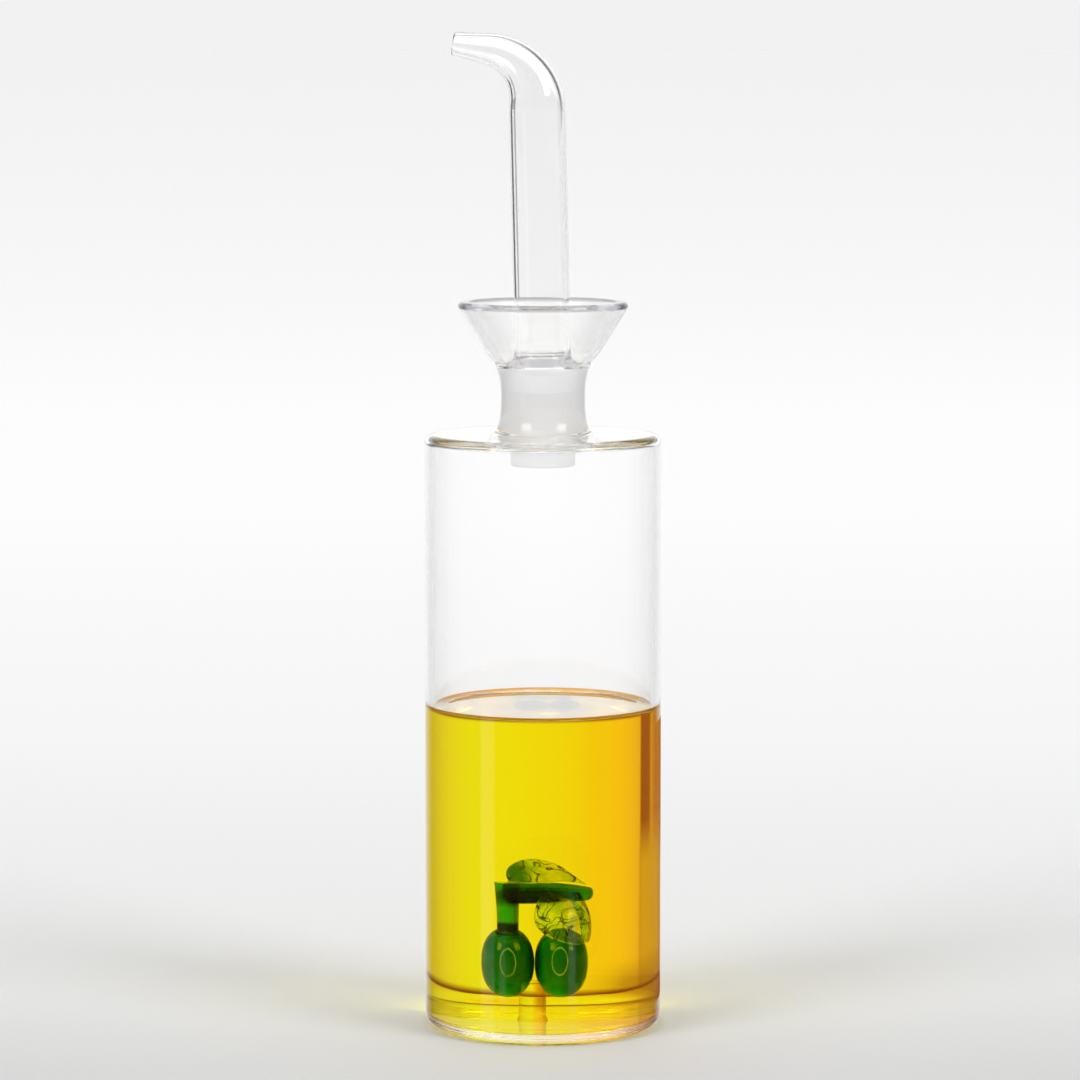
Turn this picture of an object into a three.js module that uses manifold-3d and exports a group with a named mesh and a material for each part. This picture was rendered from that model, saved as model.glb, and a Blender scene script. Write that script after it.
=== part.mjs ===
// Oil cruet of clear laboratory glass: a straight bottle with a drip cup round its neck, a bent glass
// pourer ground into the neck, oil to half height, and a sprig of green glass olives on a glass peg.
// Millimetres, +Z up. The origin is the centre of the underside, the pourer points along -X and the
// front is -Y.
import * as THREE from "three";
import { mergeVertices } from "three/addons/utils/BufferGeometryUtils.js";
import Module from "manifold-3d";

// Fit between neighbouring pieces, and the distance within which points are one
const GAP = 0.3;
const WELD = 1e-4;

// Bottle body
const BODY_R = 30;
const WALL = 2.2;
const FLOOR_Z = 2.6;
const FOOT_CORNER = 3;
const FLOOR_CORNER = 2.5;
const SHOULDER_Z = 151.4;
const SHOULDER_THICK = 2.2;
const SHOULDER_CORNER = 2.4;
const SHOULDER_RISE = 0.3;
const CEILING_CORNER = 0.4;

// Neck and drip cup, with the reach of each curve past its ends
const NECK_FOOT_R = 13.4;
const NECK_FOOT_REACH = { r: 0.6, z: 0.4 };
const WAIST_R = 10.65;
const WAIST_Z = 161;
const WAIST_REACH = { down: 6, up: 7 };
const FLARE_R = 14.75;
const FLARE_Z = 172.7;
const FLARE_REACH = { r: 2.2, z: 3 };
const RIM_R = 20.3;
const RIM_Z = 183.8;
const RIM_BEAD = 1.15;
const RIM_UNDERSIDE = { r: 0.9, z: 0.5 };
const CUP_SLOPE = Math.atan2(RIM_R + RIM_UNDERSIDE.r - FLARE_R, RIM_Z - RIM_UNDERSIDE.z - FLARE_Z);
const CUP_FLOOR_R = 10.4;
const CUP_FLOOR_Z = 171;
const SOCKET_TOP_Z = 169.2;
const SOCKET_TOP_REACH = 1;
const SOCKET_FOOT_Z = 150.4;
const SOCKET_FOOT_FLARE = 1.6;

// Pourer: its axis climbs the neck, leans a little and turns over to -X
const CONE_FOOT_Z = 143.5;
const CONE_FOOT_R = 8.07;
const CONE_LENGTH = 24.4;
const CONE_TAPER = 0.05;
const CONE_BORE_R = 6.1;
const CONE_TOP_REACH = { r: 0.15, z: 3 };
const TUBE_R = 7.15;
const TUBE_WALL = 1.2;
const TUBE_FOOT_RUN = 5.6;
const TUBE_FOOT_REACH = 2.2;
const BORE_FOOT_RUN = 3;
const LEAN = THREE.MathUtils.degToRad(1.3);
const BEND_START_Z = 234.4;
const BEND_R = 14.5;
const BEND_END = THREE.MathUtils.degToRad(82);
const SPOUT_LENGTH = 8.8;
const TAPER_LEAD = 2;
const TAPER_FIRST_REACH = 6;
const TAPER_LAST_REACH = 16.4;
const TAPER_OUTER_R = 4.2;
const TAPER_BORE_R = 2.95;
const TIP_R = 3;
const TIP_WALL = 1.15;

// Oil
const OIL_Z = 81.9;
const MENISCUS_RISE = 1;
const MENISCUS_WIDTH = 3;
const MENISCUS_REACH = 0.6;

// Olive sprig
const OLIVE_R = 4.5;
const OLIVE_HALF_HEIGHT = 8.95;
const OLIVE_Z = 17.5;
const OLIVE_X = [-6.12, 3.18];
const OLIVE_FULLNESS = 2.25;
const PEG_X = -1.8;
const PEG_R = 2.35;
const PEG_TOP_Z = 13;
const PEG_FOOT_FLARE = 0.4;
const PEG_FOOT_HEIGHT = 1.6;
const PEG_ROOT = 1;
const TWIG_TOP_Z = 38.1;
const TWIG_RODS = [
  {
    path: [[-6.1, 24.3], [-6.05, 29], [-6.15, 34], [-6.2, 38.4]],
    radii: [1.9, 1.85, 2.3],
    cap: 0.02,
    steps: 7,
  },
  {
    path: [[-6.9, 35.3], [-2, 35.7], [3.5, 35.6], [8.8, 35]],
    radii: [2.7, 3.4, 1.5],
    cap: 0.06,
    steps: 12,
  },
  {
    path: [[7, 22.6], [7.9, 26], [7.2, 31], [5, 35.4]],
    radii: [0.9, 1.2, 1.3],
    cap: 0.05,
    steps: 8,
  },
];
const LEAF_THICK = 1.2;
const LEAF_BLUNT_END = 0.03;
const LEAF_FOLD_POWER = 1.6;
const UPPER_LEAF = {
  base: new THREE.Vector3(-4.8, 2.4, 36.8),
  crown: new THREE.Vector3(-2.4, 3.2, 44),
  tip: new THREE.Vector3(7.2, 2.4, 37.2),
  face: new THREE.Vector3(0, -1, 0.35),
  width: 3.8,
  fold: 0.9,
  fullness: 0.7,
  sharpness: 1.25,
};
const LOWER_LEAF = {
  base: new THREE.Vector3(0.7, -2.4, 36.2),
  crown: new THREE.Vector3(2.2, -7, 31.2),
  tip: new THREE.Vector3(7.3, -5.4, 23),
  face: new THREE.Vector3(0.1, -1, 0.15),
  width: 5,
  fold: 1.3,
  fullness: 1.2,
  sharpness: 0.75,
};

// Fineness of the round forms
const BOTTLE_SEGMENTS = 36;
const TUBE_SEGMENTS = 22;
const OLIVE_SEGMENTS = 20;
const TWIG_SEGMENTS = 12;
const BOTTLE_STEPS = 4;
const POURER_STEPS = 12;
const OIL_STEPS = 3;

// Colours and roughness of the glass and the oil
const CLEAR_COLOUR = 0xe8eeec;
const OIL_COLOUR = 0xe3c400;
const OLIVE_COLOUR = 0x0f6a12;
const TWIG_COLOUR = 0x2f7a18;
const UPPER_LEAF_COLOUR = 0x6f9a1c;
const LOWER_LEAF_COLOUR = 0x8fae2a;
const CLEAR_ROUGHNESS = 0.05;
const GREEN_ROUGHNESS = 0.15;

const wasm = await Module();
wasm.setup();

// Closed geometry to a boolean solid and back
function solidOf(geometry) {
  const bare = geometry.clone();
  bare.deleteAttribute("normal");
  bare.deleteAttribute("uv");
  const merged = mergeVertices(bare, WELD);
  const mesh = new wasm.Mesh({
    numProp: 3,
    vertProperties: new Float32Array(merged.attributes.position.array),
    triVerts: new Uint32Array(merged.index.array),
  });
  mesh.merge();
  return new wasm.Manifold(mesh);
}

function geometryOf(solid) {
  const mesh = solid.getMesh();
  const geometry = new THREE.BufferGeometry();
  geometry.setAttribute("position", new THREE.BufferAttribute(new Float32Array(mesh.vertProperties), 3));
  geometry.setIndex(new THREE.BufferAttribute(new Uint32Array(mesh.triVerts), 1));
  geometry.computeVertexNormals();
  return geometry;
}

// Profile of radius against height turned about +Z
function turned(points, segments) {
  const geometry = new THREE.LatheGeometry(points, segments);
  geometry.rotateX(Math.PI / 2);
  return geometry;
}

// Profile of radius against distance carried along a path in the XZ plane
function carried(points, segments, path) {
  const geometry = new THREE.LatheGeometry(points, segments);
  const length = path.getLength();
  const position = geometry.attributes.position;
  const across = new THREE.Vector2();
  for (let i = 0; i < position.count; i += 1) {
    const along = THREE.MathUtils.clamp(position.getY(i) / length, 0, 1);
    const centre = path.getPointAt(along);
    const tangent = path.getTangentAt(along);
    const overrun = position.getY(i) - along * length;
    across.set(tangent.y, -tangent.x);
    position.setXYZ(
      i,
      centre.x + across.x * position.getX(i) + tangent.x * overrun,
      -position.getZ(i),
      centre.y + across.y * position.getX(i) + tangent.y * overrun,
    );
  }
  return geometry;
}

function meshOf(name, geometry, color, roughness) {
  const material = new THREE.MeshStandardMaterial({ color, roughness, metalness: 0 });
  const mesh = new THREE.Mesh(geometry, material);
  mesh.name = name;
  return mesh;
}

// Bottle profile: outside from the axis up to the rim, then the inside back to the axis
function bottleProfile() {
  const outX = Math.cos(CUP_SLOPE) * RIM_BEAD;
  const outZ = -Math.sin(CUP_SLOPE) * RIM_BEAD;
  const innerR = BODY_R - WALL;
  const ceilingZ = SHOULDER_Z - SHOULDER_THICK;
  const socketR = (z) => CONE_FOOT_R + (z - CONE_FOOT_Z) * CONE_TAPER + GAP;
  const path = new THREE.Path();
  path.moveTo(0, 0);
  path.lineTo(BODY_R - FOOT_CORNER, 0);
  path.absarc(BODY_R - FOOT_CORNER, FOOT_CORNER, FOOT_CORNER, -Math.PI / 2, 0);
  path.lineTo(BODY_R, SHOULDER_Z - SHOULDER_CORNER);
  path.absarc(BODY_R - SHOULDER_CORNER, SHOULDER_Z - SHOULDER_CORNER, SHOULDER_CORNER, 0, Math.PI / 2);
  path.lineTo(NECK_FOOT_R, SHOULDER_Z + SHOULDER_RISE);
  path.bezierCurveTo(
    WAIST_R + NECK_FOOT_REACH.r, SHOULDER_Z + NECK_FOOT_REACH.z,
    WAIST_R, WAIST_Z - WAIST_REACH.down,
    WAIST_R, WAIST_Z,
  );
  path.bezierCurveTo(
    WAIST_R, WAIST_Z + WAIST_REACH.up,
    FLARE_R - FLARE_REACH.r, FLARE_Z - FLARE_REACH.z,
    FLARE_R, FLARE_Z,
  );
  path.lineTo(RIM_R + outX, RIM_Z + outZ);
  path.absarc(RIM_R, RIM_Z, RIM_BEAD, -CUP_SLOPE, Math.PI - CUP_SLOPE);
  path.lineTo(CUP_FLOOR_R, CUP_FLOOR_Z);
  const topR = socketR(SOCKET_TOP_Z);
  const footR = socketR(SOCKET_FOOT_Z);
  path.quadraticCurveTo(topR, SOCKET_TOP_Z + SOCKET_TOP_REACH, topR, SOCKET_TOP_Z);
  path.lineTo(footR, SOCKET_FOOT_Z);
  path.quadraticCurveTo(footR, ceilingZ, footR + SOCKET_FOOT_FLARE, ceilingZ);
  path.lineTo(innerR - CEILING_CORNER, ceilingZ);
  path.absarc(innerR - CEILING_CORNER, ceilingZ - CEILING_CORNER, CEILING_CORNER, Math.PI / 2, 0, true);
  path.lineTo(innerR, FLOOR_Z + FLOOR_CORNER);
  path.absarc(innerR - FLOOR_CORNER, FLOOR_Z + FLOOR_CORNER, FLOOR_CORNER, 0, -Math.PI / 2, true);
  path.lineTo(0, FLOOR_Z);
  return path.getPoints(BOTTLE_STEPS);
}

// Peg on the bottle floor, flared where it is fused on
function pegProfile(grow) {
  const path = new THREE.Path();
  path.moveTo(0, FLOOR_Z - PEG_ROOT);
  path.lineTo(PEG_R + PEG_FOOT_FLARE + grow, FLOOR_Z - PEG_ROOT);
  path.lineTo(PEG_R + PEG_FOOT_FLARE + grow, FLOOR_Z + grow);
  path.quadraticCurveTo(PEG_R + grow, FLOOR_Z + grow, PEG_R + grow, FLOOR_Z + PEG_FOOT_HEIGHT + grow);
  path.lineTo(PEG_R + grow, PEG_TOP_Z + grow);
  path.lineTo(0, PEG_TOP_Z + grow);
  return path.getPoints(BOTTLE_STEPS);
}

function peg(grow) {
  return solidOf(turned(pegProfile(grow), OLIVE_SEGMENTS).translate(PEG_X, 0, 0));
}

// Pourer axis in X and Z
function pourerPath() {
  const coneTop = CONE_FOOT_Z + CONE_LENGTH;
  const bendX = -Math.tan(LEAN) * (BEND_START_Z - coneTop);
  const turnX = bendX - BEND_R * Math.cos(LEAN);
  const turnZ = BEND_START_Z - BEND_R * Math.sin(LEAN);
  const endX = turnX + BEND_R * Math.cos(BEND_END);
  const endZ = turnZ + BEND_R * Math.sin(BEND_END);
  const path = new THREE.Path();
  path.moveTo(0, CONE_FOOT_Z);
  path.lineTo(0, coneTop);
  path.lineTo(bendX, BEND_START_Z);
  path.absarc(turnX, turnZ, BEND_R, LEAN, BEND_END);
  path.lineTo(endX - SPOUT_LENGTH * Math.sin(BEND_END), endZ + SPOUT_LENGTH * Math.cos(BEND_END));
  return path;
}

// Pourer profile: up the outside to the tip and back down the bore
function pourerProfile(length) {
  const coneTopR = CONE_FOOT_R + CONE_LENGTH * CONE_TAPER;
  const taper = BEND_START_Z - CONE_FOOT_Z - TAPER_LEAD;
  const bore = TUBE_R - TUBE_WALL;
  const tipBore = TIP_R - TIP_WALL;
  const lip = TIP_WALL / 2;
  const profile = new THREE.Path();
  profile.moveTo(CONE_BORE_R, 0);
  profile.lineTo(CONE_FOOT_R, 0);
  profile.lineTo(coneTopR, CONE_LENGTH);
  profile.bezierCurveTo(
    coneTopR + CONE_TOP_REACH.r, CONE_LENGTH + CONE_TOP_REACH.z,
    TUBE_R, CONE_LENGTH + TUBE_FOOT_REACH,
    TUBE_R, CONE_LENGTH + TUBE_FOOT_RUN,
  );
  profile.lineTo(TUBE_R, taper);
  profile.bezierCurveTo(
    TUBE_R, taper + TAPER_FIRST_REACH,
    TAPER_OUTER_R, taper + TAPER_LAST_REACH,
    TIP_R, length - lip,
  );
  profile.bezierCurveTo(TIP_R, length + lip / 3, tipBore, length + lip / 3, tipBore, length - lip);
  profile.bezierCurveTo(
    TAPER_BORE_R, taper + TAPER_LAST_REACH,
    bore, taper + TAPER_FIRST_REACH,
    bore, taper,
  );
  profile.lineTo(bore, CONE_LENGTH + BORE_FOOT_RUN);
  profile.lineTo(CONE_BORE_R, 0);
  return profile.getPoints(POURER_STEPS);
}

// Oil profile, a little clear of the glass, with the level drawn up the wall
function oilProfile() {
  const r = BODY_R - WALL - GAP;
  const z = FLOOR_Z + GAP;
  const path = new THREE.Path();
  path.moveTo(0, z);
  path.lineTo(r - FLOOR_CORNER, z);
  path.absarc(r - FLOOR_CORNER, z + FLOOR_CORNER, FLOOR_CORNER, -Math.PI / 2, 0);
  path.lineTo(r, OIL_Z + MENISCUS_RISE);
  path.quadraticCurveTo(r - MENISCUS_REACH, OIL_Z, r - MENISCUS_WIDTH, OIL_Z);
  path.lineTo(0, OIL_Z);
  return path.getPoints(OIL_STEPS);
}

// Olive: a rounded barrel, fuller than an ellipsoid
function olive(x, grow) {
  const points = [];
  const steps = 14;
  for (let i = 0; i <= steps; i += 1) {
    const height = -Math.cos((Math.PI * i) / steps);
    const radius = (1 - Math.abs(height) ** OLIVE_FULLNESS) ** (1 / OLIVE_FULLNESS);
    points.push(new THREE.Vector2(radius * (OLIVE_R + grow), height * (OLIVE_HALF_HEIGHT + grow)));
  }
  return solidOf(turned(points, OLIVE_SEGMENTS).translate(x, 0, OLIVE_Z));
}

// Twig: a stem up from the left olive, a thicker bar across it and a thin stalk down to the right olive,
// melted together and cut flat on top
function rod(shape, grow) {
  const path = new THREE.CubicBezierCurve(...shape.path.map(([x, z]) => new THREE.Vector2(x, z)));
  const length = path.getLength();
  const [first, middle, last] = shape.radii;
  const points = [new THREE.Vector2(0, -grow)];
  for (let i = 1; i < shape.steps; i += 1) {
    const t = (1 - Math.cos((Math.PI * i) / shape.steps)) / 2;
    const end = Math.min(1, Math.min(t, 1 - t) / shape.cap);
    const round = Math.sqrt(1 - (1 - end) ** 2);
    const radius = first * (1 - t) ** 2 + 2 * middle * t * (1 - t) + last * t ** 2;
    points.push(new THREE.Vector2(radius * round + grow, t * length + (t * 2 - 1) * grow));
  }
  points.push(new THREE.Vector2(0, length + grow));
  return solidOf(carried(points, TWIG_SEGMENTS, path));
}

function twig(grow) {
  const [stem, bar, stalk] = TWIG_RODS.map((shape) => rod(shape, grow));
  return stem.add(bar).add(stalk).trimByPlane([0, 0, -1], -(TWIG_TOP_Z + grow));
}

// Leaf: a flat section with a blunt rim, folded along the midrib, carried from base to tip
function leaf(shape, grow) {
  const steps = 12;
  const sides = 12;
  const positions = [];
  const index = [];
  const midrib = new THREE.QuadraticBezierCurve3(shape.base, shape.crown, shape.tip);
  for (let i = 0; i <= steps; i += 1) {
    const t = i / steps;
    const point = midrib.getPoint(t);
    const tangent = midrib.getTangent(t);
    const side = new THREE.Vector3().crossVectors(shape.face, tangent).normalize();
    const up = new THREE.Vector3().crossVectors(tangent, side).normalize();
    const reach = LEAF_BLUNT_END + (1 - 2 * LEAF_BLUNT_END) * t ** shape.fullness;
    const outline = Math.sin(Math.PI * reach) ** shape.sharpness;
    const width = shape.width * outline + grow;
    const thick = (LEAF_THICK / 2) * Math.sqrt(outline) + grow;
    const push = (t * 2 - 1) * grow;
    for (let j = 0; j < sides; j += 1) {
      const angle = (2 * Math.PI * j) / sides;
      const across = Math.cos(angle);
      const fold = -shape.fold * Math.abs(across) ** LEAF_FOLD_POWER * outline;
      const corner = point.clone();
      corner.addScaledVector(side, across * width);
      const rise = Math.sign(Math.sin(angle)) * Math.sqrt(Math.abs(Math.sin(angle)));
      corner.addScaledVector(up, fold + rise * thick);
      corner.addScaledVector(tangent, push);
      positions.push(corner.x, corner.y, corner.z);
    }
  }
  for (let i = 0; i < steps; i += 1) {
    for (let j = 0; j < sides; j += 1) {
      const a = i * sides + j;
      const b = i * sides + ((j + 1) % sides);
      index.push(a, b, a + sides, b, b + sides, a + sides);
    }
  }
  const last = steps * sides;
  for (let j = 1; j < sides - 1; j += 1) {
    index.push(0, j + 1, j);
    index.push(last, last + j, last + j + 1);
  }
  const geometry = new THREE.BufferGeometry();
  geometry.setAttribute("position", new THREE.Float32BufferAttribute(positions, 3));
  geometry.setIndex(index);
  return solidOf(geometry);
}

// Sprig pieces, each cut clear of the ones it is fused to
const olives = OLIVE_X.map((x) => olive(x, 0));
const olivesGrown = olive(OLIVE_X[0], GAP).add(olive(OLIVE_X[1], GAP));
const twigSolid = twig(0).subtract(olivesGrown);
const twigGrown = twig(GAP);
const leafShapes = [UPPER_LEAF, LOWER_LEAF];
const leaves = leafShapes.map((shape) => leaf(shape, 0).subtract(olivesGrown).subtract(twigGrown));
const bottleSolid = solidOf(turned(bottleProfile(), BOTTLE_SEGMENTS)).add(peg(0).subtract(olivesGrown));

// Oil: the filling less the room of the sprig and its peg
let oilSolid = solidOf(turned(oilProfile(), BOTTLE_SEGMENTS)).subtract(olivesGrown).subtract(twigGrown);
oilSolid = oilSolid.subtract(peg(GAP));
for (const shape of leafShapes) {
  oilSolid = oilSolid.subtract(leaf(shape, GAP));
}

const axis = pourerPath();
const pourer = carried(pourerProfile(axis.getLength()), TUBE_SEGMENTS, axis);

const cruet = new THREE.Group();
cruet.name = "oil_cruet";
const sprig = new THREE.Group();
sprig.name = "olive_sprig";
sprig.add(
  meshOf("olive_left", geometryOf(olives[0]), OLIVE_COLOUR, GREEN_ROUGHNESS),
  meshOf("olive_right", geometryOf(olives[1]), OLIVE_COLOUR, GREEN_ROUGHNESS),
  meshOf("twig", geometryOf(twigSolid), TWIG_COLOUR, GREEN_ROUGHNESS),
  meshOf("leaf_upper", geometryOf(leaves[0]), UPPER_LEAF_COLOUR, GREEN_ROUGHNESS),
  meshOf("leaf_lower", geometryOf(leaves[1]), LOWER_LEAF_COLOUR, GREEN_ROUGHNESS),
);
cruet.add(
  meshOf("bottle", geometryOf(bottleSolid), CLEAR_COLOUR, CLEAR_ROUGHNESS),
  meshOf("pourer", pourer, CLEAR_COLOUR, CLEAR_ROUGHNESS),
  meshOf("oil", geometryOf(oilSolid), OIL_COLOUR, CLEAR_ROUGHNESS),
  sprig,
);

export default cruet;
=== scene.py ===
import math

import bmesh
import bpy
import numpy as np
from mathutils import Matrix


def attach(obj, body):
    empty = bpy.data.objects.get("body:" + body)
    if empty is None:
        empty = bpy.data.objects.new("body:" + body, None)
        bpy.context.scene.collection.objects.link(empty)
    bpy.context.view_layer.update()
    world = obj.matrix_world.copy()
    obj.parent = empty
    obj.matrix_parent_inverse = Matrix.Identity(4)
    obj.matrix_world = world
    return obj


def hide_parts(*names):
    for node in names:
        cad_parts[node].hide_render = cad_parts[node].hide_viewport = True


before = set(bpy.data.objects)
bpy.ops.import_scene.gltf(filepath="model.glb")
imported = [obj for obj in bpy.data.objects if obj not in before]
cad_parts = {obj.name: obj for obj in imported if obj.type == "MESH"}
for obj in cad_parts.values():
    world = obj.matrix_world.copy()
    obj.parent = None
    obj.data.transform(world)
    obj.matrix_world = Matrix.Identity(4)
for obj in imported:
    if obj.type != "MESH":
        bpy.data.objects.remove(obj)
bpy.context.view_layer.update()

# Bottle
# One piece of clear borosilicate glass, worked at the lamp from 60 mm tube: foot and shoulder are
# pressed flat and the waisted neck is flared to a cup that catches drips. The bore of the neck is
# ground with grit to take the pourer, which leaves a white matt band.
MM = 0.001
body_radius = 30.0
body_wall = 2.2
floor_height = 2.6
foot_corner = 3.0
floor_corner = 2.5
shoulder_height = 151.4
shoulder_thickness = 2.2
shoulder_corner = 2.4
shoulder_rise = 0.3
ceiling_corner = 0.4
neck_foot_radius = 13.4
neck_foot_reach = (0.6, 0.4)
waist_radius, waist_height = 10.65, 161.0
reach_below_waist, reach_above_waist = 6.0, 7.0
flare_radius, flare_height = 14.75, 172.7
flare_reach = (2.2, 3.0)
rim_radius, rim_height, rim_bead = 20.3, 183.8, 1.15
rim_underside = (0.9, 0.5)
cup_floor_radius, cup_floor_height = 10.4, 171.0
cup_floor_reach = (0.3, 1.0)
cone_foot, cone_radius, cone_taper = 143.5, 8.07, 0.05
joint_clearance = 0.1
socket_top, socket_foot = 169.2, 150.4
socket_top_reach = 0.6
socket_foot_flare = 1.6
socket_foot_reach = (0.6, 0.5)
widest_bore = 9.6
ground_top, ground_foot = 168.9, 150.5
oil_level = 81.9
meniscus_rise = 1.0
body_sides = 224


def linear(code):
    """An sRGB hex colour as linear red, green, blue and alpha: each share is taken off the sRGB curve."""
    shares = np.array([int(code[i:i + 2], 16) / 255 for i in (1, 3, 5)])
    straight = np.where(shares <= 0.04045, shares / 12.92, ((shares + 0.055) / 1.055) ** 2.4)
    return (*straight.tolist(), 1.0)


def add(tree, kind, settings=(), links=()):
    """One shader node: settings are its properties or its sockets by name, links are (socket, source)."""
    made = tree.nodes.new(kind)
    for key, value in dict(settings).items():
        if key in made.inputs:
            made.inputs[key].default_value = value
        else:
            setattr(made, key, value)
    for key, source in dict(links).items():
        tree.links.new(source, made.inputs[key])
    return made


def material(name):
    """An empty material with its output node and its node tree."""
    made = bpy.data.materials.new(name)
    made.use_nodes = True
    made.node_tree.nodes.clear()
    return made, made.node_tree, add(made.node_tree, "ShaderNodeOutputMaterial")


def clear_glass(name, ior, specular_tint="#FFFFFF", colour="#FFFFFF"):
    """Clear glass of one colour, with the slow waves that hand work at the lamp leaves, 12 mm apart."""
    made, tree, output = material(name)
    place = add(tree, "ShaderNodeTexCoord")
    waves = add(tree, "ShaderNodeTexNoise", {"Scale": 1 / (12 * MM), "Detail": 1.0},
                {"Vector": place.outputs["Object"]})
    bump = add(tree, "ShaderNodeBump", {"Strength": 0.012, "Distance": 0.2 * MM},
               {"Height": waves.outputs["Fac"]})
    glass = add(tree, "ShaderNodeBsdfPrincipled",
                {"Base Color": linear(colour), "Roughness": 0.0, "IOR": ior,
                 "Transmission Weight": 1.0, "Specular Tint": linear(specular_tint)},
                {"Normal": bump.outputs["Normal"]})
    tree.links.new(glass.outputs["BSDF"], output.inputs["Surface"])
    return made


def ground_glass(name, colour):
    """Glass ground with grit: most of the light is thrown back matt white and the rest goes through
    blurred, from pits drawn 0.35 mm apart so that they show. Its low index keeps the cone white up to its
    sides, where polished glass would mirror the surround."""
    made, tree, output = material(name)
    place = add(tree, "ShaderNodeTexCoord")
    pits = add(tree, "ShaderNodeTexNoise", {"Scale": 1 / (0.35 * MM), "Detail": 2.0},
               {"Vector": place.outputs["Object"]})
    bump = add(tree, "ShaderNodeBump", {"Strength": 0.15, "Distance": 0.05 * MM},
               {"Height": pits.outputs["Fac"]})
    glass = add(tree, "ShaderNodeBsdfPrincipled",
                {"Base Color": linear(colour), "Roughness": 0.8, "IOR": 1.1,
                 "Transmission Weight": 0.3},
                {"Normal": bump.outputs["Normal"]})
    tree.links.new(glass.outputs["BSDF"], output.inputs["Surface"])
    return made


def line(start, end):
    """A straight run from start to end, with a point just inside each end to keep the shading flat."""
    start, end = np.array(start, float), np.array(end, float)
    inset = 0.03 / max(np.linalg.norm(end - start), 0.1)
    share = np.array([0, inset, 0.5, 1 - inset, 1])[:, None]
    return start + (end - start) * share


def arc(centre, radius, first, last, count=14):
    """A run on a circle about centre from the first angle to the last, in degrees from the radial axis."""
    angle = np.radians(np.linspace(first, last, count + 1))
    return np.array(centre) + radius * np.stack([np.cos(angle), np.sin(angle)], axis=1)


def curve(start, pull_start, pull_end, end, count=24):
    """A cubic Bezier run from start to end that leaves and arrives along its two pull points."""
    t = np.linspace(0, 1, count + 1)[:, None]
    points = [np.array(p, float) for p in (start, pull_start, pull_end, end)]
    shares = [(1 - t) ** 3, 3 * t * (1 - t) ** 2, 3 * t ** 2 * (1 - t), t ** 3]
    return sum(share * point for share, point in zip(shares, points))


def join_runs(runs):
    """Runs of points end to end, each starting where the last one stopped, with that point kept once."""
    points = np.concatenate(runs)
    step = np.linalg.norm(np.diff(points, axis=0), axis=1)
    return points[np.concatenate([[True], step > 1e-6])]


def turned(profile, around):
    """A profile of radius and height turned about Z: x is r cos a, y is r sin a, for even angles a."""
    angle = np.arange(around) * 2 * np.pi / around
    radius, height = profile[:, :1], profile[:, 1:]
    return np.stack([radius * np.cos(angle), radius * np.sin(angle), height + 0 * angle], axis=-1)


def skin(name, grid, materials, row_slot=None, closed=False, rim=None):
    """Mesh over a grid of points in mm whose columns close in a ring. Rows close too if closed is set.
    Rows that shrink to a point are welded, row_slot gives each row of faces its material, and rim is kept
    as an attribute of the points."""
    rows, columns = grid.shape[:2]
    index = np.arange(rows * columns).reshape(rows, columns)
    lower = index if closed else index[:-1]
    upper = np.roll(index, -1, 0) if closed else index[1:]
    faces = np.stack([lower, np.roll(lower, -1, 1), np.roll(upper, -1, 1), upper], axis=-1)
    mesh = bpy.data.meshes.new(name)
    mesh.from_pydata(grid.reshape(-1, 3) * MM, [], faces.reshape(-1, 4).tolist())
    if row_slot is not None:
        mesh.polygons.foreach_set("material_index", np.repeat(row_slot, columns).astype(np.int32))
    if rim is not None:
        kept = mesh.attributes.new("rim", "FLOAT", "POINT")
        kept.data.foreach_set("value", rim.ravel().astype(np.float32))
    welded = bmesh.new()
    welded.from_mesh(mesh)
    bmesh.ops.remove_doubles(welded, verts=welded.verts, dist=1e-7)
    welded.to_mesh(mesh)
    welded.free()
    mesh.polygons.foreach_set("use_smooth", np.ones(len(mesh.polygons), bool))
    for one in materials:
        mesh.materials.append(one)
    piece = bpy.data.objects.new(name, mesh)
    bpy.context.scene.collection.objects.link(piece)
    return piece


def socket_radius(height):
    """Ground bore of the neck: just outside the pourer's cone, which tapers 1:10 across its width."""
    return cone_radius + (height - cone_foot) * cone_taper + joint_clearance


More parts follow.
